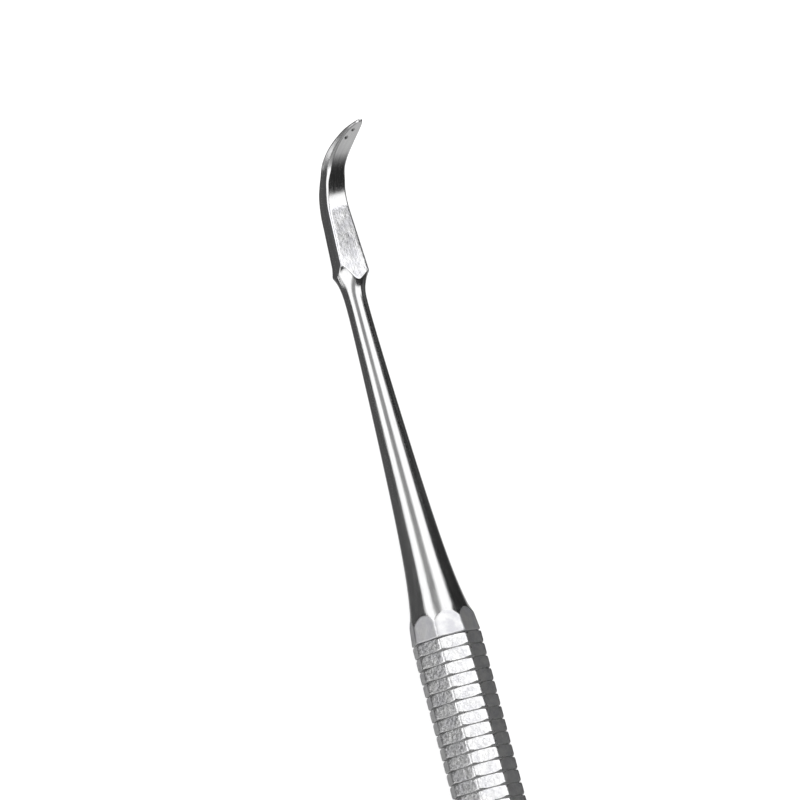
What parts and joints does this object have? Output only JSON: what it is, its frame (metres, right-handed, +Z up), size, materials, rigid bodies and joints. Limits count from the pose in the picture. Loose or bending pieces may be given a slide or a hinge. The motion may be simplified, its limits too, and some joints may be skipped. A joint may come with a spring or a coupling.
{
  "type": "curved dental elevator",
  "caption": "Hand instrument with a tapered steel shank, a hooked tongue-shaped blade and a hollow octagonal handle with turned grip grooves.",
  "frame": {"origin": "centre of the flat butt end, on the handle's axis", "axes": "+Y along the handle's axis towards the blade, +Z up through the middle of one flat of the handle, +X to the right; the blade hooks upwards, 22.5 degrees to the right of +Z"},
  "size_m": [0.009, 0.165, 0.0147],
  "materials": {
    "bright_steel": "polished stainless steel with fine lengthwise grinding lines",
    "satin_steel": "satin stainless steel, tumbled, with a fine mottled grain",
    "silver_filler": "silver braze filler, dull"
  },
  "bodies": {
    "root": {"working_end": "bright_steel", "handle_tube": "satin_steel", "end_plug": "satin_steel", "front_braze_ring": "silver_filler", "rear_braze_ring": "silver_filler"}
  },
  "joints": []
}
